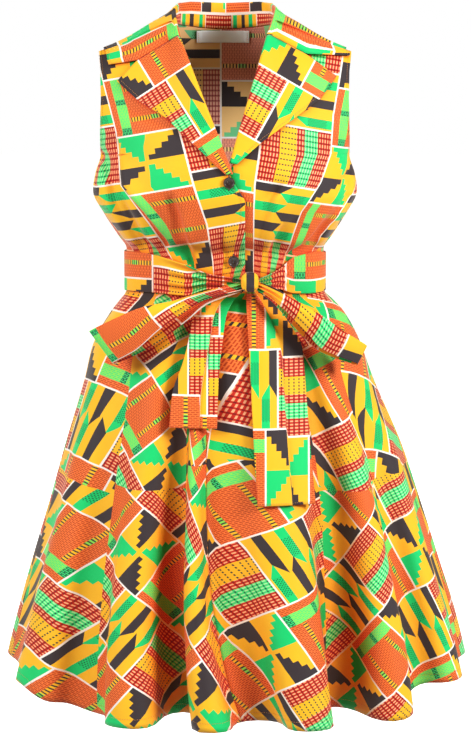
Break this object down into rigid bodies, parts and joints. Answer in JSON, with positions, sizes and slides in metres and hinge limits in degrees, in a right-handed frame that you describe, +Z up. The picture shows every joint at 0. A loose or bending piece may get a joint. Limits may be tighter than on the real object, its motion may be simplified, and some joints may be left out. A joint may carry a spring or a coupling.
{
  "type": "ankara wax print dress",
  "caption": "Sleeveless knee-length shirt dress in wax print cotton with notched lapels, a buttoned front, a flared skirt in deep flutes and a sash tied in a bow, in its worn hollow shape.",
  "frame": {"origin": "where the wearer's shoulders hold it: midway between the shoulders, on the line of the shoulder seams, level with their middles", "axes": "+Z up, -Y out of the front, +X towards the wearer's left"},
  "size_m": [0.7043, 0.5426, 1.0225],
  "materials": {
    "wax_print_cotton": "matt plain-weave cotton with a slight sheen, printed in yellow, orange, red, green and charcoal blocks",
    "dark_button": "polished dark brown",
    "label_tape": "plain woven tape"
  },
  "bodies": {
    "root": {"bodice_back": "wax_print_cotton", "bodice_front_left": "wax_print_cotton", "bodice_front_right": "wax_print_cotton", "button_top": "dark_button", "button_waist": "dark_button", "collar": "wax_print_cotton", "lapel_left": "wax_print_cotton", "lapel_right": "wax_print_cotton", "neck_label": "label_tape", "sash_band": "wax_print_cotton", "sash_knot": "wax_print_cotton", "sash_loop_left": "wax_print_cotton", "sash_loop_right": "wax_print_cotton", "sash_tail_left": "wax_print_cotton", "sash_tail_right": "wax_print_cotton", "skirt_back": "wax_print_cotton", "skirt_front_left": "wax_print_cotton", "skirt_front_right": "wax_print_cotton"}
  },
  "joints": []
}
